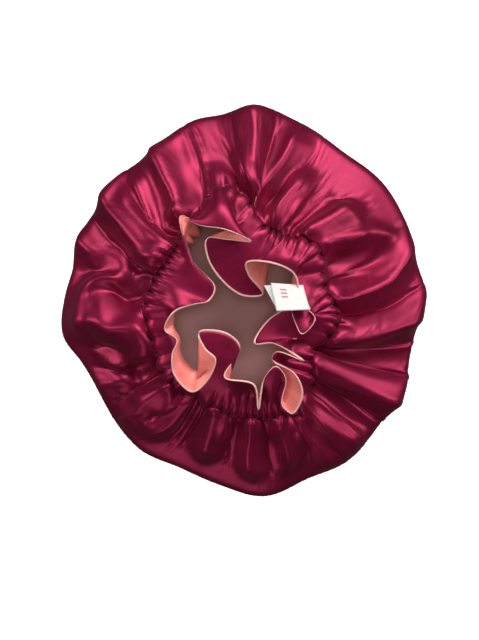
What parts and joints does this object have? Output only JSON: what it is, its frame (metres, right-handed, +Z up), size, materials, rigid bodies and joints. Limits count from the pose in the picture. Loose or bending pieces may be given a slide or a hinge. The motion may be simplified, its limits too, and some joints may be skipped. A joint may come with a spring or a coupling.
{
  "type": "sleep bonnet",
  "caption": "Double-layer satin sleep bonnet lying crown down, with an elastic neck, a wavy ruffle and a folded label, open upwards to take a head of hair.",
  "frame": {"origin": "on the surface it lies on, under the middle of the box that the bonnet fills", "axes": "+Z up out of the opening, -Y towards the front of the laid bonnet, +X to its right, where the label is"},
  "size_m": [0.34, 0.3628, 0.081],
  "materials": {
    "outer_satin": "burgundy satin with a soft pink sheen",
    "lining_satin": "coral pink satin",
    "elastic": "braided elastic, hidden in its channel",
    "label": "white woven tape"
  },
  "bodies": {
    "root": {"outer_satin": "outer_satin", "lining_satin": "lining_satin", "elastic_band": "elastic", "label": "label"}
  },
  "joints": []
}
